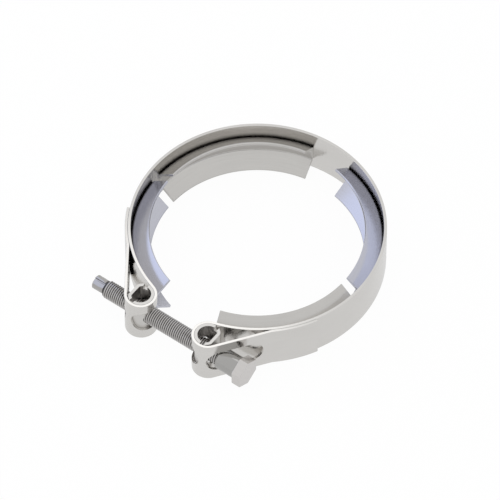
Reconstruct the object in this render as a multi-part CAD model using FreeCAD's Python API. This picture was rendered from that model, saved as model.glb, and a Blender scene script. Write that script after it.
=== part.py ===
import FreeCAD, Part
import math
import os

from FreeCAD import Base

Vector = Base.Vector

# V-band clamp: a strip formed into a ring, four V retainers welded inside it, two trunnions
# held in the loops at its ends, and a long hex bolt that draws the trunnions together.
#
# Frame, millimetres: the ring's centre at mid height is the origin, +Z is the ring's axis,
# the bolt runs along X on the -Y side with its head at +X, and the open gap faces -Y.
# Angles round the ring are degrees from -Y towards +X (right side) or towards -X (left side).

# ---- driving dimensions: band ----
ring_radius = 56.0
band_thickness = 1.25
band_width = 22.0
leg_contact_angle = 43.7
leg_bend_radius = 8.0
leg_end_angle = 63.5
leg_standoff = 0.05
weld_spot_radius = 2.2
weld_spot_height = 5.5
weld_spot_inset = 3.2

# ---- driving dimensions: trunnions and the loops round them ----
threaded_trunnion_x = 18.15
plain_trunnion_x = 17.85
trunnion_radius = 5.85
trunnion_wall = 1.35
trunnion_flat_offset = 4.15
trunnion_flat_half_width = 3.6
trunnion_round_end_angle = 70.0
trunnion_corner_radius = 0.8
trunnion_notch_angle = 80.0
trunnion_notch_width = 2.0
trunnion_notch_depth = 2.2
trunnion_loop_clearance = 0.05
loop_ring_clearance = 0.04

# ---- driving dimensions: slots punched in the strip ----
slot_height = 11.6
loop_slot_half_angle = 91.0
leg_slot_start_angle = 119.0
leg_slot_length = 25.4

# ---- driving dimensions: V retainers ----
retainer_thickness = 1.3
retainer_flank_angle = 37.0
retainer_web_half_height = 3.5
retainer_drop = 0.75
retainer_lip_radius = 46.5
retainer_lip_land = 0.6
retainer_bend_radius = 0.6
retainer_band_gap = 0.05
rear_gap_half_angle = 10.0
rear_retainer_angle = 78.2
side_gap_angle = 4.9
front_retainer_angle = 70.1

# ---- driving dimensions: bolt and spacer ----
bolt_radius = 4.0
bolt_shank_length = 70.8
bolt_point_radius = 2.5
bolt_point_length = 5.6
bolt_point_cone_length = 1.2
head_across_flats = 12.0
head_thickness = 4.3
head_edge_chamfer = 0.25
spacer_radius = 5.0
spacer_length = 9.8
spacer_travel = 2.9
threaded_hole_clearance = 0.05
plain_hole_clearance = 0.4
spacer_bore_clearance = 0.08
spacer_head_clearance = 0.02

# ---- worked out from the dimensions above ----
ring_inner_radius = ring_radius - band_thickness
loop_inner_radius = trunnion_radius + trunnion_loop_clearance
loop_outer_radius = loop_inner_radius + band_thickness
loop_mid_radius = loop_inner_radius + band_thickness / 2
# both trunnions lie on the bolt's line, as near the ring as the inner loop's S-bend allows
nearer_trunnion_x = min(threaded_trunnion_x, plain_trunnion_x)
nearer_trunnion_distance = ring_radius + loop_inner_radius + loop_ring_clearance
trunnion_y = -math.sqrt(nearer_trunnion_distance**2 - nearer_trunnion_x**2)
leg_inner_radius = ring_radius + leg_standoff
leg_outer_radius = leg_inner_radius + band_thickness
bend_distance = leg_inner_radius + leg_bend_radius
half_width = band_width / 2
slot_radius = slot_height / 2
spacer_start_x = plain_trunnion_x + trunnion_flat_offset + spacer_travel
head_start_x = spacer_start_x + spacer_length + spacer_head_clearance
cut_margin = 1.0
touching = 1e-6


def polar(centre, radius, degrees):
    """Point at an angle measured anticlockwise from +X about a centre."""
    angle = math.radians(degrees)
    return Vector(centre.x + radius * math.cos(angle), centre.y + radius * math.sin(angle), centre.z)


def arc(centre, radius, start, end):
    """Arc edge about a centre, from one angle to another, in degrees."""
    middle = (start + end) / 2
    return Part.Arc(
        polar(centre, radius, start), polar(centre, radius, middle), polar(centre, radius, end)
    ).toShape()


def line(start, end):
    return Part.LineSegment(start, end).toShape()


def rounded_outline(points, radii):
    """Closed wire through the points, with each corner rounded by its radius (0 keeps it sharp)."""
    entries = []
    exits = []
    edges = []
    count = len(points)
    for index, corner in enumerate(points):
        before = (points[index - 1] - corner).normalize()
        after = (points[(index + 1) % count] - corner).normalize()
        radius = radii[index]
        half_turn = before.getAngle(after) / 2
        setback = radius / math.tan(half_turn)
        entries.append(corner + before * setback)
        exits.append(corner + after * setback)
        if radius > 0:
            bisector = (before + after).normalize()
            middle = corner + bisector * (radius / math.sin(half_turn) - radius)
            edges.append(Part.Arc(entries[-1], middle, exits[-1]).toShape())
    for index in range(count):
        following = (index + 1) % count
        if exits[index].distanceToPoint(entries[following]) > touching:
            edges.append(line(exits[index], entries[following]))
    return Part.Wire(Part.__sortEdges__(edges))


def cylinder(start, direction, radius, length):
    return Part.makeCylinder(radius, length, start, direction)


def mirrored(shape):
    """The same shape on the -X side."""
    return shape.mirror(Vector(0, 0, 0), Vector(1, 0, 0))


class Side:
    """Where one end of the strip runs: ring, trunnion loop, leg and its bend, for the +X side."""

    def __init__(self, trunnion_x):
        self.trunnion = Vector(trunnion_x, trunnion_y, 0)
        distance = self.trunnion.Length
        bearing = math.degrees(math.atan2(trunnion_x, -trunnion_y))
        s_curve = math.degrees(math.acos((ring_radius + loop_inner_radius) / distance))
        # angles anticlockwise from +X
        self.ring_leave = bearing + s_curve - 90
        self.loop_start = self.ring_leave + 180
        # the leg runs straight from the loop to a bend that lays it on the ring
        self.leg_contact = leg_contact_angle - 90
        self.bend = polar(Vector(), bend_distance, self.leg_contact)
        to_bend = self.bend - self.trunnion
        bend_bearing = math.degrees(math.atan2(to_bend.y, to_bend.x))
        across_leg = math.degrees(math.acos((loop_inner_radius + leg_bend_radius) / to_bend.Length))
        self.leg_normal_angle = bend_bearing - across_leg
        self.loop_end = self.leg_normal_angle + 360
        self.leg_end = leg_end_angle - 90
        self.leg_normal = polar(Vector(), 1, self.leg_normal_angle)
        self.leg_direction = Vector(-self.leg_normal.y, self.leg_normal.x, 0)
        self.leg_start = self.trunnion + self.leg_normal * loop_mid_radius

    def path(self, ring, loop, leg):
        """Edges of one face of the strip, from the back of the ring to the end of the leg."""
        origin = Vector()
        bend = bend_distance - leg
        return [
            arc(origin, ring, 90, self.ring_leave),
            line(polar(origin, ring, self.ring_leave), polar(self.trunnion, loop, self.loop_start)),
            arc(self.trunnion, loop, self.loop_start, self.loop_end),
            line(
                polar(self.trunnion, loop, self.loop_end),
                polar(self.bend, bend, self.leg_normal_angle + 180),
            ),
            arc(self.bend, bend, self.leg_normal_angle + 180, self.leg_contact + 180),
            arc(origin, leg, self.leg_contact, self.leg_end),
        ]

    def strip(self):
        """Half of the band before its slots are cut."""
        origin = Vector()
        edges = self.path(ring_inner_radius, loop_outer_radius, leg_outer_radius)
        edges += self.path(ring_radius, loop_inner_radius, leg_inner_radius)
        edges.append(line(polar(origin, ring_inner_radius, 90), polar(origin, ring_radius, 90)))
        edges.append(
            line(
                polar(origin, leg_inner_radius, self.leg_end),
                polar(origin, leg_outer_radius, self.leg_end),
            )
        )
        face = Part.Face(Part.Wire(Part.__sortEdges__(edges)))
        face.translate(Vector(0, 0, -half_width))
        return face.extrude(Vector(0, 0, band_width))

    def loop_slot(self):
        """Obround slot on the gap side of the loop, which lets the bolt through."""
        inner = loop_inner_radius - cut_margin
        outer = loop_outer_radius + 2 * cut_margin
        end_angle = math.degrees(math.asin(min(1.0, slot_radius / loop_mid_radius)))
        straight = max(loop_slot_half_angle - end_angle, 1.0)
        ring_part = Part.makeCylinder(
            outer, slot_height, self.trunnion - Vector(0, 0, slot_radius), Vector(0, 0, 1), 2 * straight
        )
        ring_part.rotate(self.trunnion, Vector(0, 0, 1), 180 - straight)
        ring_part = ring_part.cut(
            Part.makeCylinder(inner, slot_height, self.trunnion - Vector(0, 0, slot_radius))
        )
        pieces = [ring_part]
        for angle in (180 - straight, 180 + straight):
            direction = polar(Vector(), 1, angle)
            start = self.trunnion + direction * (trunnion_radius - trunnion_wall)
            pieces.append(cylinder(start, direction, slot_radius, outer))
        cutter = pieces[0].multiFuse(pieces[1:])
        reach = Part.makeCylinder(
            outer, band_width, self.trunnion - Vector(0, 0, half_width), Vector(0, 0, 1), 180
        )
        reach.rotate(self.trunnion, Vector(0, 0, 1), 90)
        return cutter.common(reach)

    def leg_slot(self):
        """Obround slot along the leg, which lets the bolt and its spacer through."""
        first_angle = self.loop_end - (180 + leg_slot_start_angle)
        first = slot_radius - loop_mid_radius * math.sin(math.radians(first_angle))
        last = first + leg_slot_length - slot_height
        inward = self.leg_normal * (-2 * cut_margin - band_thickness / 2)
        depth = band_thickness + 3 * cut_margin
        start = self.leg_start + self.leg_direction * first + inward
        end = self.leg_start + self.leg_direction * last + inward
        rise = Vector(0, 0, slot_radius)
        corners = [start - rise, end - rise, end + rise, start + rise, start - rise]
        block = Part.Face(Part.makePolygon(corners)).extrude(self.leg_normal * depth)
        ends = [cylinder(point, self.leg_normal, slot_radius, depth) for point in (start, end)]
        return block.multiFuse(ends)

    def weld_spots(self):
        """Resistance welds that hold the leg to the ring near its end."""
        angle = self.leg_end - math.degrees(weld_spot_inset / ring_radius)
        direction = polar(Vector(), 1, angle)
        start = direction * (ring_radius - band_thickness / 2)
        length = band_thickness + leg_standoff
        return [
            cylinder(start + Vector(0, 0, height), direction, weld_spot_radius, length)
            for height in (-weld_spot_height, weld_spot_height)
        ]

    def half_band(self):
        strip = self.strip().cut(self.loop_slot()).cut(self.leg_slot())
        return strip.multiFuse(self.weld_spots())


def make_band():
    right = Side(plain_trunnion_x).half_band()
    left = mirrored(Side(threaded_trunnion_x).half_band())
    return right.fuse(left).removeSplitter()


def retainer_profile():
    """Section of a V retainer in the XZ plane: web against the band, flanks opening inwards."""
    web_outer = ring_inner_radius - retainer_band_gap
    web_inner = web_outer - retainer_thickness
    slope = math.radians(retainer_flank_angle)
    along = Vector(-math.cos(slope), 0, math.sin(slope))
    across = Vector(math.sin(slope), 0, math.cos(slope))
    inner_corner = Vector(web_inner, 0, retainer_web_half_height)
    lip_corner = inner_corner + along * ((web_inner - retainer_lip_radius) / math.cos(slope))
    land_corner = lip_corner + Vector(0, 0, retainer_lip_land)
    remaining = retainer_thickness - retainer_lip_land * math.cos(slope)
    outer_lip = land_corner + across * remaining
    run = (web_outer - outer_lip.x) / math.cos(slope)
    outer_corner = outer_lip - along * run
    upper = [outer_corner, outer_lip, land_corner, lip_corner, inner_corner]
    lower = [Vector(point.x, 0, -point.z) for point in reversed(upper)]
    bend_outer = retainer_bend_radius + retainer_thickness
    radii = [bend_outer, 0, 0, 0, retainer_bend_radius]
    return Part.Face(rounded_outline(upper + lower, radii + radii[::-1]))


def make_retainer(start, sweep):
    """One retainer on the +X side; start and sweep are degrees from +Y towards +X."""
    section = retainer_profile()
    section.translate(Vector(0, 0, -retainer_drop))
    section.rotate(Vector(), Vector(0, 0, 1), 90 - start)
    return section.revolve(Vector(), Vector(0, 0, 1), -sweep)


def trunnion_outline(wall):
    """Wire of the D section at a depth inside the outer surface, flat towards +X."""
    radius = trunnion_radius - wall
    flat = trunnion_flat_offset - wall
    outer_tip = polar(Vector(), trunnion_radius, trunnion_round_end_angle)
    outer_corner = Vector(trunnion_flat_offset, trunnion_flat_half_width, 0)
    leg = (outer_corner - outer_tip).normalize()
    inward = Vector(leg.y, -leg.x, 0)
    base = outer_tip + inward * wall
    # where the leg's line, moved inwards, meets the round wall and the flat
    along = -base.dot(leg) - math.sqrt(base.dot(leg) ** 2 - base.dot(base) + radius ** 2)
    tip = base + leg * along
    corner = base + leg * ((flat - base.x) / leg.x)
    rounding = max(trunnion_corner_radius + trunnion_wall - wall, trunnion_corner_radius)
    to_leg = (tip - corner).normalize()
    to_flat = Vector(0, -1, 0)
    half_turn = to_leg.getAngle(to_flat) / 2
    setback = rounding / math.tan(half_turn)
    on_leg = corner + to_leg * setback
    on_flat = corner + to_flat * setback
    bisector = (to_leg + to_flat).normalize()
    middle = corner + bisector * (rounding / math.sin(half_turn) - rounding)

    def below(point):
        return Vector(point.x, -point.y, 0)

    edges = [
        Part.Arc(tip, Vector(-radius, 0, 0), below(tip)).toShape(),
        line(tip, on_leg),
        Part.Arc(on_leg, middle, on_flat).toShape(),
        line(on_flat, below(on_flat)),
        Part.Arc(below(on_flat), below(middle), below(on_leg)).toShape(),
        line(below(on_leg), below(tip)),
    ]
    return Part.Wire(Part.__sortEdges__(edges))


def make_trunnion(trunnion_x, hole_clearance):
    """D-shaped tube with a cross hole for the bolt, on the +X side with its flat outwards."""
    outer = Part.Face(trunnion_outline(0)).extrude(Vector(0, 0, band_width))
    inner = Part.Face(trunnion_outline(trunnion_wall)).extrude(Vector(0, 0, band_width))
    body = outer.cut(inner)
    reach = trunnion_radius + cut_margin
    for side in (-1, 1):
        for low in (0, band_width - trunnion_notch_depth):
            notch = Part.makeBox(
                reach, trunnion_notch_width, trunnion_notch_depth, Vector(0, -trunnion_notch_width / 2, low)
            )
            notch.rotate(Vector(), Vector(0, 0, 1), side * trunnion_notch_angle)
            body = body.cut(notch)
    body.translate(Vector(0, 0, -half_width))
    hole = cylinder(Vector(-reach, 0, 0), Vector(1, 0, 0), bolt_radius + hole_clearance, 2 * reach)
    body = body.cut(hole)
    body.translate(Vector(trunnion_x, trunnion_y, 0))
    return body


def make_bolt():
    axis = Vector(1, 0, 0)
    shank_start = head_start_x - bolt_shank_length
    cone_start = shank_start - bolt_point_cone_length
    point_start = cone_start - bolt_point_length

    def on_axis(x):
        return Vector(x, trunnion_y, 0)

    point = cylinder(on_axis(point_start), axis, bolt_point_radius, bolt_point_length)
    cone = Part.makeCone(
        bolt_point_radius, bolt_radius, bolt_point_cone_length, on_axis(cone_start), axis
    )
    shank = cylinder(on_axis(shank_start), axis, bolt_radius, bolt_shank_length)
    corner_radius = head_across_flats / math.sqrt(3)
    corners = []
    for angle in range(0, 361, 60):
        sideways = corner_radius * math.sin(math.radians(angle))
        upwards = corner_radius * math.cos(math.radians(angle))
        corners.append(on_axis(head_start_x) + Vector(0, sideways, upwards))
    hexagon = Part.Face(Part.makePolygon(corners)).extrude(Vector(head_thickness, 0, 0))
    rims = [
        edge
        for edge in hexagon.Edges
        if abs(edge.BoundBox.XMin - edge.BoundBox.XMax) < touching
    ]
    head = hexagon.makeChamfer(head_edge_chamfer, rims)
    return point.multiFuse([cone, shank, head]).removeSplitter()


def make_spacer():
    start = Vector(spacer_start_x, trunnion_y, 0)
    axis = Vector(1, 0, 0)
    tube = cylinder(start, axis, spacer_radius, spacer_length)
    return tube.cut(cylinder(start, axis, bolt_radius + spacer_bore_clearance, spacer_length))


def main():
    rear_start = rear_gap_half_angle
    front_start = rear_start + rear_retainer_angle + side_gap_angle
    rear = make_retainer(rear_start, rear_retainer_angle)
    front = make_retainer(front_start, front_retainer_angle)
    parts = {
        "band": make_band(),
        "retainer_rear_right": rear,
        "retainer_rear_left": mirrored(rear),
        "retainer_front_right": front,
        "retainer_front_left": mirrored(front),
        "threaded_trunnion": mirrored(make_trunnion(threaded_trunnion_x, threaded_hole_clearance)),
        "plain_trunnion": make_trunnion(plain_trunnion_x, plain_hole_clearance),
        "clamp_bolt": make_bolt(),
        "spacer_sleeve": make_spacer(),
    }
    os.makedirs("parts", exist_ok=True)
    for name, shape in parts.items():
        shape.exportStep(os.path.join("parts", name + ".step"))
        box = shape.BoundBox
        print(
            name, "solids", len(shape.Solids), "valid", shape.isValid(), "volume", round(shape.Volume, 2),
            "x", round(box.XMin, 2), round(box.XMax, 2),
            "y", round(box.YMin, 2), round(box.YMax, 2),
            "z", round(box.ZMin, 2), round(box.ZMax, 2),
        )


main()
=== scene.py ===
# %% [markdown]
# # A V-band clamp
#
# The clamp is a sheet-steel strip bent into a ring, with a V-shaped retainer welded inside it in four
# lengths. The strip's two ends go round two D-shaped trunnions, and a long screw pulls the trunnions
# together. The imported model gives the size and place of every piece. This lesson models each piece again
# with its formed corners, its real thread and its sheared edges, and gives the steel its finish.
#
# The imported model is loaded first, and its box is kept.

# %% Load the imported model
import math

import bmesh
import bpy
from mathutils import Matrix, Vector


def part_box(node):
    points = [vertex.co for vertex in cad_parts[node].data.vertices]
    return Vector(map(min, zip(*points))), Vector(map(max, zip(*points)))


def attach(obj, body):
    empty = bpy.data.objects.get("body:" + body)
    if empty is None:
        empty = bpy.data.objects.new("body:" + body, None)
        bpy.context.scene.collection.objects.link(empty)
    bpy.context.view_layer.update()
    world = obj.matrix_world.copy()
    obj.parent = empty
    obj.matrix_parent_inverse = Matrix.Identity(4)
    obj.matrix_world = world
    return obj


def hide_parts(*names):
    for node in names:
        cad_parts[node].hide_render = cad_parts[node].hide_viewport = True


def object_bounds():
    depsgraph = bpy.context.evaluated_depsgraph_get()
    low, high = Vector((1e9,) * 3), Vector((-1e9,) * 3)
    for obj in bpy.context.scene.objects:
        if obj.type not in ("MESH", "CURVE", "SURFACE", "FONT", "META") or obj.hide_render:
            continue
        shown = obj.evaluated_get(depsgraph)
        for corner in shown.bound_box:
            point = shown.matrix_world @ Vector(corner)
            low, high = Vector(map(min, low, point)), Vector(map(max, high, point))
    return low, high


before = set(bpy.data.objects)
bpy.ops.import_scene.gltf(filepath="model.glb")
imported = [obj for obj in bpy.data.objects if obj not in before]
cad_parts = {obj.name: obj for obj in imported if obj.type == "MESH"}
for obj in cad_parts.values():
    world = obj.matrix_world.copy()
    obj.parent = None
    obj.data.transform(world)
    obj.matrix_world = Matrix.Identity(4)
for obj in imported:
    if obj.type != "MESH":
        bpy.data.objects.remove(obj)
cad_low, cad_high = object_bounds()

mm = 0.001
print("CAD box, mm:", [round(v / mm, 2) for v in (*cad_low, *cad_high)])

# %% [markdown]
# Every piece takes its place from the node it stands for. The ring's centre is the origin, and the boxes
# of the nodes give the rest: the band's box has the ring's radius and the strip's width, a trunnion's box
# has its round side and its centre line, and the bolt's box has the two ends of the screw.

# %% Measures that come from the nodes
band_low, band_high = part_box("band")
left_low, left_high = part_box("threaded_trunnion")
right_low, right_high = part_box("plain_trunnion")
bolt_low, bolt_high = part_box("clamp_bolt")
sleeve_low, sleeve_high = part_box("spacer_sleeve")

ring_radius = band_high.y
strip_width = band_high.z - band_low.z
half_width = strip_width / 2
trunnion_radius = (right_high.y - right_low.y) / 2
bolt_y = (bolt_high.y + bolt_low.y) / 2
left_trunnion_x = left_high.x - trunnion_radius
right_trunnion_x = right_low.x + trunnion_radius
print("ring radius", round(ring_radius / mm, 2), "trunnions at", round(left_trunnion_x / mm, 2),
      round(right_trunnion_x / mm, 2), "bolt line", round(bolt_y / mm, 2))

# %% [markdown]
# An operator acts on everything that is selected, and a freshly loaded model is selected all over. So a few
# helpers come first. One starts a new piece with nothing else selected, one names it, and one picks
# vertices, edges or faces by where they are. Picking by place is safer than picking by number, because the
# numbers change whenever a step before it does.

# %% Helpers that choose and pick
hair = 0.001 * mm


def near(value, wanted):
    """Whether two lengths are the same to within a hair."""
    return abs(value - wanted) < hair


def deselect_all():
    """Nothing is selected, in object mode, so that the next operator meets only its own piece."""
    if bpy.context.object and bpy.context.object.mode != "OBJECT":
        bpy.ops.object.mode_set(mode="OBJECT")
    bpy.ops.object.select_all(action="DESELECT")


def choose(*pieces):
    """These pieces are selected, and the first is the active one."""
    deselect_all()
    for piece in pieces:
        piece.select_set(True)
    bpy.context.view_layer.objects.active = pieces[0]


def named(name):
    """The piece that an operator has just added, under its own name."""
    piece = bpy.context.object
    piece.name = name
    piece.data.name = name
    return piece


def middle(element):
    """The place of a vertex, or the middle of an edge or face."""
    if isinstance(element, bmesh.types.BMVert):
        return element.co
    if isinstance(element, bmesh.types.BMEdge):
        return (element.verts[0].co + element.verts[1].co) / 2
    return element.calc_center_median()


def pick(kind, wanted):
    """In edit mode: selects the elements, of kind VERT, EDGE or FACE, that pass a test, and counts them."""
    bpy.ops.mesh.select_mode(type=kind)
    bpy.ops.mesh.select_all(action="DESELECT")
    mesh = bmesh.from_edit_mesh(bpy.context.object.data)
    elements = {"VERT": mesh.verts, "EDGE": mesh.edges, "FACE": mesh.faces}[kind]
    picked = [element for element in elements if wanted(element)]
    for element in picked:
        element.select_set(True)
    bmesh.update_edit_mesh(bpy.context.object.data)
    return len(picked)


print("a hair is", hair / mm, "mm")

# %% [markdown]
# The next helpers shape a piece. One adds a modifier and applies it at once, so that a finished piece is
# plain geometry. One merges doubled vertices and turns all the faces outwards. One rounds the sharp edges,
# because a real edge always has a small radius, and that radius is what catches the light.

# %% Helpers that shape and copy
doubles_distance = 0.002 * mm
edge_segments = 2


def modified(piece, kind, **settings):
    """Adds a modifier with its settings and applies it."""
    choose(piece)
    modifier = piece.modifiers.new(kind.title(), kind)
    for setting, value in settings.items():
        setattr(modifier, setting, value)
    bpy.ops.object.modifier_apply(modifier=modifier.name)


def cut_with(piece, cutter):
    """Cuts one shape out of a piece, and removes the cutter."""
    modified(piece, "BOOLEAN", operation="DIFFERENCE", object=cutter, solver="MANIFOLD")
    bpy.data.objects.remove(cutter)


def outward(piece):
    """Merges doubled vertices and turns every face outwards."""
    choose(piece)
    bpy.ops.object.mode_set(mode="EDIT")
    bpy.ops.mesh.select_all(action="SELECT")
    bpy.ops.mesh.remove_doubles(threshold=doubles_distance)
    bpy.ops.mesh.normals_make_consistent(inside=False)
    bpy.ops.object.mode_set(mode="OBJECT")


def edges_rounded(piece, radius, smallest_angle=40):
    """Rounds the sharp edges, as tumbling does, and keeps the flats beside them flat to the light."""
    modified(
        piece, "BEVEL", width=radius, segments=edge_segments, limit_method="ANGLE",
        angle_limit=math.radians(smallest_angle), harden_normals=True, use_clamp_overlap=True,
    )


def copied(piece, name, mirror=False):
    """A copy with its own mesh, mirrored in X if asked."""
    copy = piece.copy()
    copy.data = piece.data.copy()
    copy.name = name
    copy.data.name = name
    bpy.context.scene.collection.objects.link(copy)
    if mirror:
        copy.data.transform(Matrix.Scale(-1, 4, Vector((1, 0, 0))))
        copy.data.flip_normals()
    return copy


def place(degrees, radius, centre=(0, 0)):
    """A point of the XY plane at an angle anticlockwise from +X about a centre."""
    angle = math.radians(degrees)
    return Vector((centre[0] + radius * math.cos(angle), centre[1] + radius * math.sin(angle), 0))


print("edges are rounded in", edge_segments, "steps")

# %% [markdown]
# ## The band
#
# The real band is one strip, slit to width, punched with four slots while it is flat, and then bent:
# each end turns back on itself round a trunnion and lies along the outside of the ring, where it is spot
# welded. A ring could be spun and its slots cut with booleans, but a boolean leaves long thin faces on a
# bend. So the strip is made here as the shop makes it: a flat grid, slots opened in it, given its
# thickness, and then bent along a guide line.
#
# First comes the guide. Seen from above it is made of arcs and tangent lines, and it is worked out for one
# side: the ring, a straight stretch that leaves it, the loop round the trunnion, the straight leg back to
# the ring, and the bend that lays the leg on it.

# %% Where the strip runs
strip_thickness = 1.25 * mm
trunnion_play = 0.05 * mm
leg_contact_angle = 43.7
leg_bend_radius = 8.0 * mm
leg_end_angle = 63.5
loop_radius = trunnion_radius + trunnion_play + strip_thickness / 2
ring_line_radius = ring_radius - strip_thickness / 2
leg_line_radius = ring_radius + trunnion_play + strip_thickness / 2
bend_line_radius = leg_bend_radius - strip_thickness / 2


class SidePath:
    """One half of the strip's line on the +X side, from the back of the ring to the end of the leg."""

    def __init__(self, trunnion_x):
        self.centre = Vector((trunnion_x, bolt_y, 0))
        distance = self.centre.length
        bearing = math.degrees(math.atan2(trunnion_x, -bolt_y))
        across_gap = math.degrees(math.acos((ring_line_radius + loop_radius) / distance))
        self.ring_leave = bearing + across_gap - 90
        self.loop_start = self.ring_leave + 180
        # the straight leg touches the loop on one side and the bend's circle on the other
        self.leg_contact = leg_contact_angle - 90
        self.bend = place(self.leg_contact, leg_line_radius + bend_line_radius)
        to_bend = self.bend - self.centre
        across_leg = math.degrees(math.acos((loop_radius + bend_line_radius) / to_bend.length))
        self.leg_normal = math.degrees(math.atan2(to_bend.y, to_bend.x)) - across_leg
        self.loop_end = self.leg_normal + 360
        self.leg_end = leg_end_angle - 90
        # lengths along the strip, from the back of the ring
        self.at_ring_leave = math.radians(90 - self.ring_leave) * ring_line_radius
        straight = place(self.loop_start, loop_radius, self.centre) - place(self.ring_leave, ring_line_radius)
        self.at_loop_start = self.at_ring_leave + straight.length
        loop_turn = math.radians(self.loop_end - self.loop_start)
        self.at_loop_end = self.at_loop_start + loop_turn * loop_radius
        bend_start = place(self.leg_normal + 180, bend_line_radius, self.bend)
        leg_line = bend_start - place(self.loop_end, loop_radius, self.centre)
        self.at_bend = self.at_loop_end + leg_line.length
        bend_turn = math.radians(self.leg_normal - self.leg_contact)
        self.at_leg_arc = self.at_bend + bend_turn * bend_line_radius
        leg_turn = math.radians(self.leg_end - self.leg_contact)
        self.length = self.at_leg_arc + leg_turn * leg_line_radius

    def points(self):
        """The line's points, a degree or less apart on its arcs."""
        stretches = [
            (Vector(), ring_line_radius, 90, self.ring_leave),
            (self.centre, loop_radius, self.loop_start, self.loop_end),
            (self.bend, bend_line_radius, self.leg_normal + 180, self.leg_contact + 180),
            (Vector(), leg_line_radius, self.leg_contact, self.leg_end),
        ]
        line = []
        for centre, radius, start, end in stretches:
            steps = math.ceil(abs(end - start))
            for step in range(steps + 1):
                line.append(place(start + (end - start) * step / steps, radius, centre))
        return line


right_path = SidePath(right_trunnion_x)
left_path = SidePath(-left_trunnion_x)
strip_length = left_path.length + right_path.length
print("strip length, mm:", round(strip_length / mm, 2))

# %% [markdown]
# The slots let the screw and its sleeve through. On each side one slot is punched in the loop, where it
# faces the gap, and one in the leg. They are obrounds, so half of one is a straight run and a half circle,
# and its height at any place along the strip is a short formula.

# %% Slots, as places along the flat strip
slot_height = 11.6 * mm
slot_radius = slot_height / 2
loop_slot_lead = 2.5 * mm
loop_slot_end_angle = 271
leg_slot_start_angle = 299
leg_slot_length = 25.4 * mm


def side_slots(path):
    """Start and end of the two slots on one side, measured from the back of the ring."""
    loop_slot_end = path.at_loop_start + math.radians(loop_slot_end_angle - path.loop_start) * loop_radius
    leg_slot_start = path.at_loop_start + math.radians(leg_slot_start_angle - path.loop_start) * loop_radius
    return [
        (path.at_loop_start - loop_slot_lead, loop_slot_end),
        (leg_slot_start, leg_slot_start + leg_slot_length),
    ]


back = left_path.length
slots = [(back + start, back + end) for start, end in side_slots(right_path)]
slots += [(back - end, back - start) for start, end in side_slots(left_path)]


def slot_half_height(along):
    """Half the slot's height at a place along the strip, and 0 where there is no slot."""
    for start, end in slots:
        inside = min(along - start, end - along)
        if inside > hair:
            from_centre = max(slot_radius - inside, 0)
            return math.sqrt(slot_radius**2 - from_centre**2)
    return 0


# %% [markdown]
# The grid needs columns where the strip bends and where a slot's end curves, and few elsewhere. Their
# places are collected from the bends and the slots, and sorted.

# %% Columns of the grid
ring_step = 1.8 * mm
bend_step = 0.6 * mm
slot_end_columns = 10
closest_columns = 0.12 * mm
column_digits = 8


def even(start, end, step):
    """Places from start to end, evenly spaced at about a step."""
    count = max(1, math.ceil((end - start) / step))
    return [start + (end - start) * k / count for k in range(count + 1)]


def side_columns(path):
    """Column places on one side, measured from the back of the ring."""
    return (
        even(0, path.at_ring_leave, ring_step)
        + even(path.at_ring_leave, path.at_loop_end, bend_step)
        + even(path.at_loop_end, path.at_bend, ring_step)
        + even(path.at_bend, path.at_leg_arc, bend_step)
        + even(path.at_leg_arc, path.length, ring_step)
    )


key_columns = [0, back, strip_length]
for start, end in slots:
    for k in range(slot_end_columns + 1):
        inset = slot_radius * (1 - math.cos(math.pi / 2 * k / slot_end_columns))
        key_columns += [start + inset, end - inset]
plain_columns = [back + s for s in side_columns(right_path)] + [back - s for s in side_columns(left_path)]
columns = sorted(key_columns)
for along in sorted(plain_columns):
    if min(abs(along - key) for key in key_columns) > closest_columns:
        columns.append(along)
columns = sorted(set(round(along, column_digits) for along in columns))
print("columns along the strip:", len(columns))

# %% [markdown]
# The grid has three rows of faces. The middle row is deleted, and the two lines beside it are moved to the
# slot's height, which closes the strip again wherever there is no slot. The flat place of every vertex is
# kept as an attribute, so that the grain of the steel can follow the strip round its bends.

# %% The flat strip with its slots
deselect_all()
bpy.ops.mesh.primitive_grid_add(x_subdivisions=len(columns) - 1, y_subdivisions=3, size=strip_width)
band = named("band_strip")
per_row = len(columns)
for vertex in band.data.vertices:
    row, column = divmod(vertex.index, per_row)
    along = columns[column]
    height = (-half_width, -slot_half_height(along), slot_half_height(along), half_width)[row]
    vertex.co = (along, 0, height)

choose(band)
bpy.ops.object.mode_set(mode="EDIT")
slot_row = range(per_row - 1, 2 * (per_row - 1))
pick("FACE", lambda face: face.index in slot_row)
bpy.ops.mesh.delete(type="FACE")
bpy.ops.mesh.select_all(action="SELECT")
bpy.ops.mesh.remove_doubles(threshold=hair)
bpy.ops.object.mode_set(mode="OBJECT")

flat_place = band.data.attributes.new("flat_place", "FLOAT_VECTOR", "POINT")
for vertex in band.data.vertices:
    flat_place.data[vertex.index].vector = vertex.co
modified(band, "SOLIDIFY", thickness=strip_thickness, offset=0)
print("flat strip faces:", len(band.data.polygons))

# %% [markdown]
# The guide is a curve through the points worked out above, from the end of the left leg to the end of the
# right one. A Curve modifier carries the strip's X along it, so a straight strip comes out bent with its
# thickness and its punched slots kept.

# %% Bend the strip along its guide
mirrored_left = [Vector((-point.x, point.y, 0)) for point in left_path.points()]
guide_points = mirrored_left[::-1] + right_path.points()[1:]
guide_data = bpy.data.curves.new("guide", "CURVE")
guide_data.dimensions = "2D"
spline = guide_data.splines.new("POLY")
spline.points.add(len(guide_points) - 1)
for spline_point, point in zip(spline.points, guide_points):
    spline_point.co = (point.x, point.y, 0, 1)
guide = bpy.data.objects.new("guide", guide_data)
bpy.context.scene.collection.objects.link(guide)
bpy.context.view_layer.update()
modified(band, "CURVE", object=guide, deform_axis="POS_X")
bpy.data.objects.remove(guide)

sheared_edge = 0.12 * mm
outward(band)
edges_rounded(band, sheared_edge)
print("band faces:", len(band.data.polygons))

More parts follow.
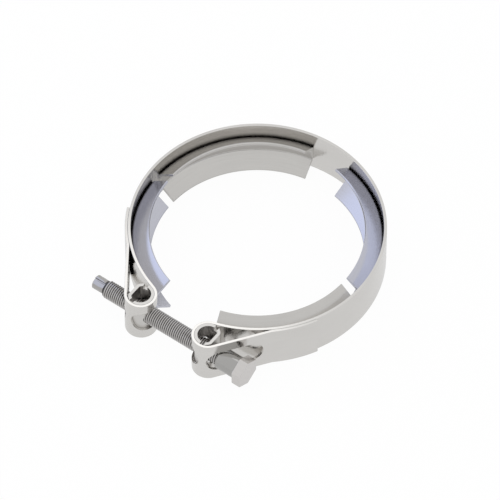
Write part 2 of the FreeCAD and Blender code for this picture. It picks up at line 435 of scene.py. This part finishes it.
# %% [markdown]
# ## The retainers
#
# Each retainer is rolled from strip into a V channel: a narrow web against the band and two flanks that
# wedge the flanges together. A round section like this is drawn once and spun about the ring's axis. The
# section starts as the web, its two ends are extruded along the flanks, and the lips are trimmed by a
# bisect at the lip's radius, as a turned lip would be. Its corners are rounded before it is spun. The
# retainers sit a little below the band's middle, so the gap over them is wider than the gap under them.

# %% Section of a retainer
retainer_thickness = 1.3 * mm
band_gap = 0.05 * mm
web_half_height = 3.5 * mm
retainer_drop = 0.75 * mm
lip_radius = 46.5 * mm
lip_land = 0.6 * mm
flank_slope = math.radians(37)
inner_bend = 1.0 * mm
bend_segments = 5
bisect_threshold = 1e-9
web_outer = ring_radius - strip_thickness - band_gap
web_inner = web_outer - retainer_thickness
flank_length = (web_inner - lip_radius) / math.cos(flank_slope)
spare_length = 3 * retainer_thickness
flank = Vector((-math.cos(flank_slope), 0, math.sin(flank_slope)))
across = Vector((math.sin(flank_slope), 0, math.cos(flank_slope)))


def retainer_section():
    """The V section in the XZ plane as one face, at the +X side of the ring."""
    # where the two faces of the upper flank meet the web's two faces
    inner_corner = Vector((web_inner, 0, web_half_height))
    outer_rise = retainer_thickness * (1 - across.x) / across.z
    outer_corner = Vector((web_outer, 0, web_half_height + outer_rise))
    reach = flank_length + spare_length
    deselect_all()
    bpy.ops.mesh.primitive_plane_add(size=1)
    section = named("retainer_section")
    corners = (inner_corner, outer_corner)
    for vertex in section.data.vertices:
        corner = corners[0] if vertex.co.x < 0 else corners[1]
        vertex.co = (corner.x, 0, math.copysign(corner.z, vertex.co.y))
    bpy.ops.object.mode_set(mode="EDIT")
    for sense in (1, -1):
        pick("EDGE", lambda edge: middle(edge).z * sense > web_half_height)
        bpy.ops.mesh.extrude_region_move(
            TRANSFORM_OT_translate={"value": (flank.x * reach, 0, sense * flank.z * reach)}
        )
    # the cut across the flank that leaves a land as high as wanted, then the land itself
    land_corner = inner_corner + flank * flank_length + Vector((0, 0, lip_land))
    for sense in (1, -1):
        bpy.ops.mesh.select_all(action="SELECT")
        bpy.ops.mesh.bisect(
            plane_co=(land_corner.x, 0, sense * land_corner.z),
            plane_no=(flank.x, 0, sense * flank.z), clear_outer=True, threshold=bisect_threshold,
        )
    bpy.ops.mesh.select_all(action="SELECT")
    bpy.ops.mesh.bisect(
        plane_co=(lip_radius, 0, 0), plane_no=(1, 0, 0), clear_inner=True, threshold=bisect_threshold
    )
    bpy.ops.mesh.select_all(action="SELECT")
    bpy.ops.mesh.dissolve_faces()
    # the bends: the setback of a rounded corner is its radius over the tangent of half its angle
    half_angle = (math.pi / 2 + flank_slope) / 2
    for corner, radius in ((inner_corner, inner_bend), (outer_corner, inner_bend + retainer_thickness)):
        pick("VERT", lambda vertex: near(vertex.co.x, corner.x) and near(abs(vertex.co.z), corner.z))
        bpy.ops.mesh.bevel(
            offset=radius / math.tan(half_angle), segments=bend_segments,
            affect="VERTICES", clamp_overlap=False,
        )
    bpy.ops.object.mode_set(mode="OBJECT")
    return section


first_section = retainer_section()
section_points = [vertex.co for vertex in first_section.data.vertices]
print("section points:", len(section_points))
print("lip radius", round(min(point.x for point in section_points) / mm, 3),
      "top", round(max(point.z for point in section_points) / mm, 3))

# %% [markdown]
# A spin sweeps the section round the Z axis in even steps. The two right-hand retainers are spun, each from
# the angle where it starts, and the left-hand ones are their mirror images.

# %% Spin the retainers
rear_gap_half_angle = 10.0
rear_retainer_angle = 78.2
side_gap_angle = 4.9
front_retainer_angle = 70.1
spin_step = 1.3
retainer_edge = 0.14 * mm
retainer_edge_angle = 32


def spun_retainer(name, start, sweep):
    """A retainer on the +X side; start and sweep are degrees from +Y towards +X."""
    piece = copied(first_section, name)
    piece.data.transform(
        Matrix.Rotation(math.radians(90 - start), 4, "Z") @ Matrix.Translation((0, 0, -retainer_drop))
    )
    choose(piece)
    bpy.ops.object.mode_set(mode="EDIT")
    bpy.ops.mesh.select_all(action="SELECT")
    bpy.ops.mesh.spin(
        steps=math.ceil(sweep / spin_step), angle=math.radians(sweep), center=(0, 0, 0), axis=(0, 0, 1)
    )
    bpy.ops.object.mode_set(mode="OBJECT")
    outward(piece)
    edges_rounded(piece, retainer_edge, retainer_edge_angle)
    return piece


front_start = rear_gap_half_angle + rear_retainer_angle + side_gap_angle
rear_right = spun_retainer("rear_right_retainer", rear_gap_half_angle, rear_retainer_angle)
front_right = spun_retainer("front_right_retainer", front_start, front_retainer_angle)
rear_left = copied(rear_right, "rear_left_retainer", mirror=True)
front_left = copied(front_right, "front_left_retainer", mirror=True)
bpy.data.objects.remove(first_section)
for piece in (rear_right, front_right):
    print(piece.name, "faces:", len(piece.data.polygons))

# %% [markdown]
# ## The trunnions
#
# A trunnion is a short D-shaped tube that lies in the loop: its round side is held by the strip and its flat
# side faces outwards, as a seat for the screw. The D is drawn as a disc that is trimmed by three bisects,
# its corners are rounded, and an inset leaves the wall, which is then extruded. The inset keeps the wall
# even round the flat and the arc alike, which a second, smaller disc would not.

# %% A D-shaped tube
disc_points = 120
flat_offset = 4.15 * mm
flat_half_width = 3.6 * mm
round_end_angle = 70
tube_wall = 1.35 * mm
inner_corner_radius = 0.8 * mm
corner_segments = 6


def d_tube(name, x, flat_side):
    """The tube at a trunnion's place, with its flat towards +X or -X."""
    corner = Vector((flat_offset, flat_half_width, 0))
    tip = place(round_end_angle, trunnion_radius)
    run = (corner - tip).normalized()
    deselect_all()
    bpy.ops.mesh.primitive_circle_add(vertices=disc_points, radius=trunnion_radius, fill_type="NGON")
    tube = named(name)
    bpy.ops.object.mode_set(mode="EDIT")
    cuts = [
        ((flat_offset, 0, 0), (1, 0, 0)),
        (corner, (-run.y, run.x, 0)),
        ((corner.x, -corner.y, 0), (-run.y, -run.x, 0)),
    ]
    for point, normal in cuts:
        bpy.ops.mesh.select_all(action="SELECT")
        bpy.ops.mesh.bisect(
            plane_co=point, plane_no=normal, clear_outer=True, threshold=bisect_threshold
        )
    pick("VERT", lambda vertex: near(vertex.co.x, corner.x) and near(abs(vertex.co.y), corner.y))
    half_angle = (run * -1).angle(Vector((0, -1, 0))) / 2
    bpy.ops.mesh.bevel(
        offset=(inner_corner_radius + tube_wall) / math.tan(half_angle), segments=corner_segments,
        affect="VERTICES", clamp_overlap=False,
    )
    bpy.ops.mesh.select_all(action="SELECT")
    bpy.ops.mesh.inset(thickness=tube_wall, use_even_offset=True)
    bpy.ops.mesh.delete(type="ONLY_FACE")
    bpy.ops.mesh.select_all(action="SELECT")
    bpy.ops.mesh.extrude_region_move(TRANSFORM_OT_translate={"value": (0, 0, strip_width)})
    bpy.ops.object.mode_set(mode="OBJECT")
    if flat_side < 0:
        tube.data.transform(Matrix.Rotation(math.pi, 4, "Z"))
    tube.data.transform(Matrix.Translation((x, bolt_y, -half_width)))
    outward(tube)
    return tube


left_trunnion = d_tube("left_trunnion", left_trunnion_x, -1)
right_trunnion = d_tube("right_trunnion", right_trunnion_x, 1)
print("trunnion faces:", len(right_trunnion.data.polygons))

# %% [markdown]
# The tube is cross-drilled for the screw, and its two ends are notched on both sides of the round wall. The
# drill and the notching tool are primitives at their real size, and a Boolean modifier takes them away. The
# left trunnion's hole is tapped, so it is close to the thread, and the right one's is a clear hole.

# %% Drill and notch the trunnions
notch_width = 2.0 * mm
notch_depth = 2.2 * mm
notch_angle = 80
bolt_radius = 4.0 * mm
tapped_play = 0.05 * mm
clear_play = 0.4 * mm
trunnion_edge = 0.14 * mm
trunnion_edge_angle = 50
drill_points = 64


def drill(tube, x, radius):
    """Drills the cross hole for the screw through both walls."""
    deselect_all()
    bpy.ops.mesh.primitive_cylinder_add(
        vertices=drill_points, radius=radius, depth=4 * trunnion_radius,
        location=(x, bolt_y, 0), rotation=(0, math.pi / 2, 0),
    )
    cut_with(tube, named("drill"))


def notch(tube, x, flat_side):
    """Notches both ends of the tube, on both sides of its round wall."""
    for side in (-1, 1):
        angle = math.radians(side * notch_angle)
        if flat_side < 0:
            angle = math.pi - angle
        for end in (-1, 1):
            deselect_all()
            bpy.ops.mesh.primitive_cube_add(
                size=1, scale=(2 * trunnion_radius, notch_width, 2 * notch_depth), rotation=(0, 0, angle),
                location=(
                    x + trunnion_radius * math.cos(angle),
                    bolt_y + trunnion_radius * math.sin(angle),
                    end * half_width,
                ),
            )
            cut_with(tube, named("notch_tool"))


for tube, x, flat_side, play in (
    (left_trunnion, left_trunnion_x, -1, tapped_play),
    (right_trunnion, right_trunnion_x, 1, clear_play),
):
    drill(tube, x, bolt_radius + play)
    notch(tube, x, flat_side)
    outward(tube)
    edges_rounded(tube, trunnion_edge, trunnion_edge_angle)
    print(tube.name, "faces:", len(tube.data.polygons))

# %% [markdown]
# ## The screw
#
# The screw is a long hexagon-head bolt with a rolled thread, turned down at its far end to a plain point
# that finds the trunnion's hole. A row of rings only looks like a thread from a distance. The Screw modifier
# winds one turn's profile into a true helix, which has a real pitch and really advances when the screw
# turns, so the left trunnion would travel along it.
#
# The profile of one pitch is a line of five runs: half a root, a flank, the crest, a flank, half a root.

# %% Wind the thread
thread_pitch = 1.0 * mm
thread_depth = 0.6 * mm
root_flat = 0.2 * mm
crest_flat = 0.16 * mm
turn_steps = 36
point_radius = 2.5 * mm
point_length = 5.6 * mm
cone_length = 1.2 * mm
head_thickness = 4.3 * mm
thread_in_sleeve = 3.0 * mm
cone_start = bolt_low.x + point_length
head_start = bolt_high.x - head_thickness
thread_turns = math.floor((sleeve_low.x + thread_in_sleeve - cone_start) / thread_pitch)


def thread_profile():
    """One pitch of the thread as a line of points, along X at the top of the screw."""
    root = bolt_radius - thread_depth
    half_crest = crest_flat / 2
    half_root = root_flat / 2
    pitch_middle = thread_pitch / 2
    return [
        (0, root),
        (half_root, root),
        (pitch_middle - half_crest, bolt_radius),
        (pitch_middle + half_crest, bolt_radius),
        (thread_pitch - half_root, root),
        (thread_pitch, root),
    ]


deselect_all()
bpy.ops.mesh.primitive_plane_add(size=1)
screw = named("hex_screw")
bpy.ops.object.mode_set(mode="EDIT")
bpy.ops.mesh.select_all(action="SELECT")
bpy.ops.mesh.merge(type="CENTER")
profile = thread_profile()
bpy.ops.transform.translate(value=(profile[0][0], 0, profile[0][1]))
for (x0, z0), (x1, z1) in zip(profile, profile[1:]):
    bpy.ops.mesh.extrude_vertices_move(TRANSFORM_OT_translate={"value": (x1 - x0, 0, z1 - z0)})
bpy.ops.object.mode_set(mode="OBJECT")
modified(
    screw, "SCREW", axis="X", angle=math.tau, screw_offset=thread_pitch, iterations=thread_turns,
    steps=turn_steps, render_steps=turn_steps, use_merge_vertices=True, merge_threshold=doubles_distance,
)
outward(screw)
print("thread turns:", thread_turns, "faces:", len(screw.data.polygons))

# %% [markdown]
# The helix starts and ends with a step one pitch long. At the far end the crests also run out on a cone, as
# a turned lead-in cuts them. So every point near that end is drawn in to the cone's radius, and then the
# open rim is pressed flat, extruded along the plain point and closed. The rim under the head is pressed
# flat in the same way, where the sleeve hides it, and carried on as the plain shank under the head.

# %% The lead-in, the plain point and the shank
point_chamfer = 0.35 * mm
neck_radius = 3.9 * mm
thread_end = thread_turns * thread_pitch


def cone_radius(x):
    """Radius that the lead-in cone leaves at a place along the screw, counted from the cone's start."""
    return point_radius + (bolt_radius - point_radius) * max(x, 0) / cone_length


def pressed_flat(x_wanted, at_start):
    """Presses the open rim at one end into a ring at x, so that it can be extruded."""
    pick("EDGE", lambda edge: edge.is_boundary and (middle(edge).x < thread_end / 2) == at_start)
    for vertex in bmesh.from_edit_mesh(screw.data).verts:
        if vertex.select:
            vertex.co.x = x_wanted
    bmesh.update_edit_mesh(screw.data)


for vertex in screw.data.vertices:
    radius = math.hypot(vertex.co.y, vertex.co.z)
    limit = cone_radius(vertex.co.x)
    if radius > limit:
        vertex.co.y *= limit / radius
        vertex.co.z *= limit / radius
choose(screw)
bpy.ops.object.mode_set(mode="EDIT")
pressed_flat(0, at_start=True)
bpy.ops.mesh.remove_doubles(threshold=doubles_distance, use_unselected=True)
pick("EDGE", lambda edge: edge.is_boundary and middle(edge).x < thread_pitch)
bpy.ops.mesh.extrude_edges_move(TRANSFORM_OT_translate={"value": (-(point_length - point_chamfer), 0, 0)})
bpy.ops.mesh.extrude_edges_move(TRANSFORM_OT_translate={"value": (-point_chamfer, 0, 0)})
shrink = 1 - point_chamfer / point_radius
bpy.ops.transform.resize(value=(1, shrink, shrink), center_override=(0, 0, 0))
bpy.ops.mesh.edge_face_add()
pressed_flat(thread_end, at_start=False)
bpy.ops.mesh.remove_doubles(threshold=doubles_distance, use_unselected=True)
pick("EDGE", lambda edge: edge.is_boundary)
bpy.ops.mesh.extrude_edges_move(TRANSFORM_OT_translate={"value": (0, 0, 0)})
grow = neck_radius / (bolt_radius - thread_depth)
bpy.ops.transform.resize(value=(1, grow, grow), center_override=(0, 0, 0))
bpy.ops.mesh.extrude_edges_move(
    TRANSFORM_OT_translate={"value": (head_start - cone_start - thread_end, 0, 0)}
)
bpy.ops.mesh.edge_face_add()
bpy.ops.object.mode_set(mode="OBJECT")
screw.data.transform(Matrix.Translation((cone_start, bolt_y, 0)))
outward(screw)
print("screw faces:", len(screw.data.polygons))

# %% [markdown]
# The head is a plain hexagon, cold formed from the same wire as the shank. It starts as a cylinder of six
# sides, turned so that a corner points up. A bevel over its edges gives the small radius that catches the
# light, and then head and shank are joined, because on the real screw they are one piece.

# %% The hexagon head
across_flats = 12.0 * mm
head_edge = 0.2 * mm
deselect_all()
bpy.ops.mesh.primitive_cylinder_add(
    vertices=6, radius=across_flats / math.sqrt(3), depth=head_thickness,
    location=((head_start + bolt_high.x) / 2, bolt_y, 0), rotation=(0, math.pi / 2, 0),
)
head = named("hexagon_head")
bpy.ops.object.transform_apply(location=True, rotation=True, scale=True)
head.data.transform(
    Matrix.Translation((0, bolt_y, 0))
    @ Matrix.Rotation(math.pi / 6, 4, "X")
    @ Matrix.Translation((0, -bolt_y, 0))
)
outward(head)
edges_rounded(head, head_edge)
choose(screw, head)
bpy.ops.object.join()
print("screw with its head:", len(screw.data.polygons), "faces")

# %% [markdown]
# ## The sleeve
#
# A short turned sleeve fills the space between the head and the trunnion, so that the head can stand clear
# of the band. Its wall is an inset ring, extruded along the screw, with small chamfers at both ends.

# %% The sleeve
sleeve_play = 0.08 * mm
sleeve_chamfer = 0.2 * mm
sleeve_points = 72
sleeve_radius = (sleeve_high.y - sleeve_low.y) / 2
deselect_all()
bpy.ops.mesh.primitive_circle_add(vertices=sleeve_points, radius=sleeve_radius, fill_type="NGON")
sleeve = named("turned_sleeve")
bpy.ops.object.mode_set(mode="EDIT")
bpy.ops.mesh.inset(thickness=sleeve_radius - bolt_radius - sleeve_play, use_even_offset=True)
bpy.ops.mesh.delete(type="ONLY_FACE")
bpy.ops.mesh.select_all(action="SELECT")
bpy.ops.mesh.extrude_region_move(TRANSFORM_OT_translate={"value": (0, 0, sleeve_high.x - sleeve_low.x)})
bpy.ops.object.mode_set(mode="OBJECT")
sleeve.data.transform(Matrix.Translation((sleeve_low.x, bolt_y, 0)) @ Matrix.Rotation(math.pi / 2, 4, "Y"))
outward(sleeve)
edges_rounded(sleeve, sleeve_chamfer)
print("sleeve faces:", len(sleeve.data.polygons))

# %% [markdown]
# ## Who rides on what
#
# Each piece rides on the body of the node it stands for, and that node is hidden. Each row also lists a
# material slot for its finish, which nothing here gives to the piece.

# %% Ride and replace
for piece, body, node, slot in (
    (band, "clamp", "band", "band_steel"),
    (rear_right, "clamp", "retainer_rear_right", "retainer_steel"),
    (rear_left, "clamp", "retainer_rear_left", "retainer_steel"),
    (front_right, "clamp", "retainer_front_right", "retainer_steel"),
    (front_left, "clamp", "retainer_front_left", "retainer_steel"),
    (left_trunnion, "clamp", "threaded_trunnion", "trunnion_steel"),
    (right_trunnion, "clamp", "plain_trunnion", "trunnion_steel"),
    (screw, "bolt", "clamp_bolt", "bolt_steel"),
    (sleeve, "sleeve", "spacer_sleeve", "spacer_steel"),
):
    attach(piece, body)
    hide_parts(node)

# %% [markdown]
# ## Steel
#
# All the pieces are stainless steel, but not one steel: the strip is cold rolled, with a faint grain along
# its length, the retainers are roll formed, two of them with a painted bluish reflection in their colour,
# and the screw is drawn, with a darker thread.
#
# A pattern is easier to read as arithmetic than as a row of nodes, so a small class stands for a socket and
# turns + - * / into Math nodes, and a second one makes any other node.

# %% Arithmetic on sockets


class Value:
    """A node's output, on which arithmetic can be done."""

    def __init__(self, finish, output):
        self.finish = finish
        self.output = output

    def __add__(self, other):
        return self.finish.math("ADD", self, other)

    def __radd__(self, other):
        return self.finish.math("ADD", other, self)

    def __sub__(self, other):
        return self.finish.math("SUBTRACT", self, other)

    def __rsub__(self, other):
        return self.finish.math("SUBTRACT", other, self)

    def __mul__(self, other):
        return self.finish.math("MULTIPLY", self, other)

    def __rmul__(self, other):
        return self.finish.math("MULTIPLY", other, self)

    def __truediv__(self, other):
        return self.finish.math("DIVIDE", self, other)

    def __rtruediv__(self, other):
        return self.finish.math("DIVIDE", other, self)


class Finish:
    """A material that is built node by node round one Principled shader."""

    def __init__(self, name):
        self.material = bpy.data.materials.new(name)
        self.material.use_nodes = True
        self.tree = self.material.node_tree
        self.shader = self.tree.nodes["Principled BSDF"]

    def fill(self, node, sockets):
        """Gives a node's inputs their values, or links them to a Value."""
        for socket, content in sockets.items():
            if isinstance(content, Value):
                self.tree.links.new(content.output, node.inputs[socket])
            else:
                node.inputs[socket].default_value = content

    def node(self, kind, output, settings=None, sockets=None):
        """Adds a node: its type, the output that is wanted, its settings, then its sockets."""
        node = self.tree.nodes.new("ShaderNode" + kind)
        for setting, content in (settings or {}).items():
            setattr(node, setting, content)
        self.fill(node, sockets or {})
        return Value(self, node.outputs[output])

    def math(self, operation, *operands):
        """A Math node, its operands in order."""
        return self.node("Math", 0, {"operation": operation}, dict(enumerate(operands)))

    def mixed(self, share, first, second):
        """A colour between two, by a share from 0 to 1."""
        return self.node("Mix", 2, {"data_type": "RGBA"}, {0: share, 6: first, 7: second})

    def object_place(self):
        """The place on the piece, as its X, Y and Z."""
        parts = self.node("SeparateXYZ", "X", None, {0: self.node("TexCoord", "Object")}).output.node
        return [Value(self, parts.outputs[axis]) for axis in "XYZ"]


def colour(red, green, blue):
    """A colour as it shows on a screen, 0 to 255, made linear for the shader."""
    linear = [((c / 255 + 0.055) / 1.055) ** 2.4 if c > 10 else c / 255 / 12.92 for c in (red, green, blue)]
    return (*linear, 1)


print("a middle grey is", [round(part, 3) for part in colour(128, 128, 128)])

# %% [markdown]
# Metal shows what is round it, so its finish is mostly its roughness. Rolling and drawing leave fine lines
# along the metal, so the grain is noise, stretched some forty times along the rolling direction. It varies
# the tint and the roughness a little and gives the light a faint relief to catch on. A second, larger noise
# clouds the tint and the roughness, as handling does. An even grey would look like plastic, and real
# brushing is too fine to model as geometry.

# %% A steel with a grain
dark_grain = 0.93
light_grain = 1.04
grain_tint = 1.2
grain_roughness = 0.25
grain_height = 0.1 * mm
cloud_size = 45.0
cloud_tint = 0.4
cloud_roughness = 0.05
# the dark colour that painted shade on the retainers and the darker thread are mixed towards
shaded_steel = colour(52, 51, 50)


def rolled_steel(name, tint, roughness, grain_place, grain_scale, contrast=0.4, darkening_share=None):
    """Steel with a grain. grain_place makes the socket on which the grain runs, and the last argument, if
    given, darkens it towards shaded_steel.
    """
    finish = Finish(name)
    where = grain_place(finish)
    stretched = finish.node("Mapping", 0, None, {"Vector": where, "Scale": grain_scale})
    grain = finish.node("TexNoise", 0, None, {
        "Vector": stretched, "Scale": 1.0, "Detail": 3.0, "Roughness": 0.6,
    })
    cloud = finish.node("TexNoise", 0, None, {"Vector": where, "Scale": cloud_size, "Detail": 2.0}) - 0.5
    uneven = (grain - 0.5) * contrast
    dark = colour(*[part * dark_grain for part in tint])
    light = colour(*[min(255, part * light_grain) for part in tint])
    metal = finish.mixed(uneven * grain_tint + 0.5 + cloud * cloud_tint, dark, light)
    # painted shade on the retainers, and the darker thread on the screw, take the colour towards shaded_steel
    if darkening_share:
        metal = finish.mixed(darkening_share(finish), metal, shaded_steel)
    finish.fill(finish.shader, {
        "Base Color": metal,
        "Roughness": uneven * grain_roughness + roughness + cloud * cloud_roughness,
        "Metallic": 1.0,
        "Normal": finish.node("Bump", 0, None, {
            "Height": grain, "Strength": 0.05, "Distance": grain_height,
        }),
    })
    return finish.material


print("shaded steel is", [round(part, 3) for part in shaded_steel])

# %% [markdown]
# The grain has to follow the metal. On the band it runs along the flat strip, whose place every vertex has
# kept. On a retainer it runs round the ring, so the angle is made a length. Turned and drawn pieces are
# straight, and their own place will do.

# %% Where the grain runs


def along_strip(finish):
    """The flat place that the strip had before it was bent."""
    return finish.node("Attribute", "Vector", {"attribute_name": "flat_place"})


def round_ring(finish):
    """Angle round the ring as a length, with the radius and the height."""
    x, y, z = finish.object_place()
    radius = finish.math("POWER", x * x + y * y, 0.5)
    turn = finish.math("ARCTAN2", y, x) * ring_radius
    return finish.node("CombineXYZ", 0, None, {0: turn, 1: radius, 2: z})


def straight_place(finish):
    """The plain place on a piece, for turned and drawn steel."""
    return finish.node("TexCoord", "Object")


grain_along_x = (60, 2500, 2500)
grain_along_z = (2500, 2500, 60)
print("grain, wide to long:", grain_along_x[0] / grain_along_x[1])

# %% [markdown]
# Two places are darker than the rest. The thread is darker the deeper a place lies in it, and the plain point
# beside it is evenly darker. Behind a retainer's upper flank is a corner that no light reaches, and its shade
# is painted into the colour.
# Both could be painted on a map, but their shape is known, so a short formula on the place says how dark each
# one is, and it stays sharp at any distance.

# %% Dark places
crest_darkness = 0.15
point_darkness = 0.35
shown_in_sleeve = 2.0 * mm
corner_shade_start = web_outer - 1.7 * mm
corner_shade_end = web_outer + 0.2 * mm
outer_face_share = 0.8


def thread_roots(finish):
    """How deep a place lies in the thread, and an even share on the plain point."""
    x, y, z = finish.object_place()
    from_line = y - bolt_y
    radius = finish.math("POWER", from_line * from_line + z * z, 0.5)
    depth = finish.math("SMOOTH_MIN", (bolt_radius - radius) * (1 / thread_depth), 1.0)
    before_sleeve = finish.math("LESS_THAN", x, sleeve_low.x + shown_in_sleeve)
    on_thread = finish.math("GREATER_THAN", x, cone_start) * before_sleeve
    on_point = finish.math("LESS_THAN", x, cone_start)
    return finish.math("MAXIMUM", depth, crest_darkness) * on_thread + on_point * point_darkness


def flank_corner(finish):
    """The painted shade on a flank's outer face: 1 at the corner it makes with the band, and 0 at the lip."""
    x, y, z = finish.object_place()
    radius = finish.math("POWER", x * x + y * y, 0.5)
    height = finish.math("ABSOLUTE", z + retainer_drop)
    inner_face = (web_inner - radius) * math.tan(flank_slope) + web_half_height
    outer_side = finish.math("GREATER_THAN", height - inner_face, outer_face_share * retainer_thickness)
    closeness = finish.node("MapRange", 0, {"interpolation_type": "SMOOTHSTEP"}, {
        "Value": radius, "From Min": corner_shade_start, "From Max": corner_shade_end,
        "To Min": 0.0, "To Max": 1.0,
    })
    return closeness * outer_side


print("corner shade from", round(corner_shade_start / mm, 2), "to", round(corner_shade_end / mm, 2), "mm")

# %% [markdown]
# With these the six finishes are one call each: a tint, a roughness, and which way the grain runs.

# %% Dress the pieces
strip_steel = rolled_steel("cold_rolled_strip", (227, 225, 222), 0.15, along_strip, grain_along_x)
# both retainer steels carry painted shade in the corner behind the upper flank
retainer_steel = rolled_steel(
    "rolled_retainer", (211, 209, 206), 0.20, round_ring, grain_along_x, darkening_share=flank_corner
)
# the bluish tint of this retainer steel is a painted reflection
blue_reflection_steel = rolled_steel(
    "rolled_retainer_blue_reflection", (206, 207, 217), 0.20, round_ring, grain_along_x, darkening_share=flank_corner
)
tube_steel = rolled_steel("drawn_tube", (222, 220, 217), 0.30, straight_place, grain_along_z)
screw_steel = rolled_steel(
    "drawn_screw", (221, 218, 216), 0.16, straight_place, grain_along_x, contrast=0.3, darkening_share=thread_roots
)
sleeve_steel = rolled_steel(
    "turned_sleeve_steel", (180, 179, 177), 0.14, straight_place, grain_along_x, contrast=0.3
)

for piece, material in (
    (band, strip_steel), (rear_right, blue_reflection_steel), (rear_left, retainer_steel),
    (front_right, retainer_steel), (front_left, blue_reflection_steel), (left_trunnion, tube_steel),
    (right_trunnion, tube_steel), (screw, screw_steel), (sleeve, sleeve_steel),
):
    piece.data.materials.clear()
    piece.data.materials.append(material)
    print(piece.name, "wears", material.name)

# %% [markdown]
# ## Floor, camera and light
#
# The clamp lies on a plain white sheet. Where the camera or a reflection sees the sheet it is plain white,
# darkened only where the clamp keeps the light off it. More light on the sheet would whiten it too, but it
# would bleach the steel as well. A diffuse ray meets a pale grey sheet, so that the light it throws back
# stays at a plain level, and a mirrored sheet is dimmed a little, so that polished steel keeps its depth.

# %% Floor
floor_size = 6
floor_gap = 0.2 * mm
shadow_share = 0.04
mirrored_dimming = 0.22
white = (1, 1, 1, 1)
pale_grey = (0.9, 0.9, 0.9, 1)
deselect_all()
bpy.ops.mesh.primitive_plane_add(size=floor_size, location=(0, 0, cad_low.z - floor_gap))
floor = named("floor")
sheet = Finish("white_sheet")
sheet.fill(sheet.shader, {"Base Color": pale_grey, "Roughness": 0.9})
from_camera = sheet.node("LightPath", "Is Camera Ray")
mirrored = sheet.node("LightPath", "Is Glossy Ray")
through_glass = sheet.node("LightPath", "Is Transmission Ray")
plainly_seen = sheet.math("MINIMUM", from_camera + mirrored + through_glass, 1.0)
glow = sheet.node("Emission", 0, None, {"Color": white, "Strength": 1.0 - mirrored * mirrored_dimming})
surface = sheet.node("MixShader", 0, None, {
    0: plainly_seen * (1 - shadow_share), 1: Value(sheet, sheet.shader.outputs[0]), 2: glow,
})
sheet.fill(sheet.tree.nodes["Material Output"], {"Surface": surface})
floor.data.materials.append(sheet.material)
print("floor at", round(floor.location.z / mm, 2), "mm")

# %% [markdown]
# The camera stands well back with a long lens, from where a small object looks as it does on a catalogue
# page: lines that are parallel on the clamp stay parallel. It looks down steeply enough to show the inside
# of the ring and the trunnions' open ends together.

# %% Camera
camera_azimuth = math.radians(36.6)
camera_elevation = math.radians(52.96)
camera_distance = 2.5
camera_data = bpy.data.cameras.new("camera")
camera_data.sensor_width = 36
camera_data.lens = 415.5
camera_data.shift_x = -0.0147
camera_data.shift_y = -0.0185
camera_data.clip_start = 0.1
camera_data.clip_end = 20
camera = bpy.data.objects.new("camera", camera_data)
bpy.context.scene.collection.objects.link(camera)
towards = Vector((
    math.sin(camera_azimuth) * math.cos(camera_elevation),
    -math.cos(camera_azimuth) * math.cos(camera_elevation),
    math.sin(camera_elevation),
))
camera.location = towards * camera_distance
camera.rotation_mode = "QUATERNION"
camera.rotation_quaternion = (-towards).to_track_quat("-Z", "Y")
bpy.context.scene.camera = camera
print("camera at", [round(part, 3) for part in camera.location])

# %% [markdown]
# A white room lights the clamp evenly from all sides, as a light tent does, and reflections see it a little
# dimmer, because steel that mirrors pure white has no form. Two weak softboxes do the rest: a small one
# whose reflection falls on the front rims, and a wide, bluish one at the left, which lies in the flanks that
# face that way, as a window would.

# %% Light
room_dimming = 0.18
world = bpy.data.worlds.new("studio")
bpy.context.scene.world = world
world.use_nodes = True
background = world.node_tree.nodes["Background"]
background.inputs["Color"].default_value = white
ray = world.node_tree.nodes.new("ShaderNodeLightPath")
dimmer = world.node_tree.nodes.new("ShaderNodeMath")
dimmer.operation = "MULTIPLY_ADD"
dimmer.inputs[1].default_value = -room_dimming
dimmer.inputs[2].default_value = 1.0
world.node_tree.links.new(ray.outputs["Is Glossy Ray"], dimmer.inputs[0])
world.node_tree.links.new(dimmer.outputs[0], background.inputs["Strength"])


def softbox(name, place_mm, aim_mm, size_mm, watts, tint=(1.0, 1.0, 1.0)):
    """A rectangular area lamp at a place, turned to what it lights."""
    lamp_data = bpy.data.lights.new(name, "AREA")
    lamp_data.shape = "RECTANGLE"
    lamp_data.size, lamp_data.size_y = (side * mm for side in size_mm)
    lamp_data.energy = watts
    lamp_data.color = tint
    lamp = bpy.data.objects.new(name, lamp_data)
    bpy.context.scene.collection.objects.link(lamp)
    lamp.location = Vector(place_mm) * mm
    aim = Vector(aim_mm) * mm - lamp.location
    lamp.rotation_mode = "QUATERNION"
    lamp.rotation_quaternion = aim.to_track_quat("-Z", "Y")
    print(name, "gives", watts, "W")


softbox("rim_light", place_mm=(-195, 197, 470), aim_mm=(10, -75, 0), size_mm=(110, 110), watts=0.022)
softbox(
    "sky_light", place_mm=(-560, -30, 180), aim_mm=(0, 0, 0), size_mm=(900, 560), watts=0.65,
    tint=(0.4, 0.54, 1.0),
)
bpy.context.scene.view_settings.view_transform = "Standard"
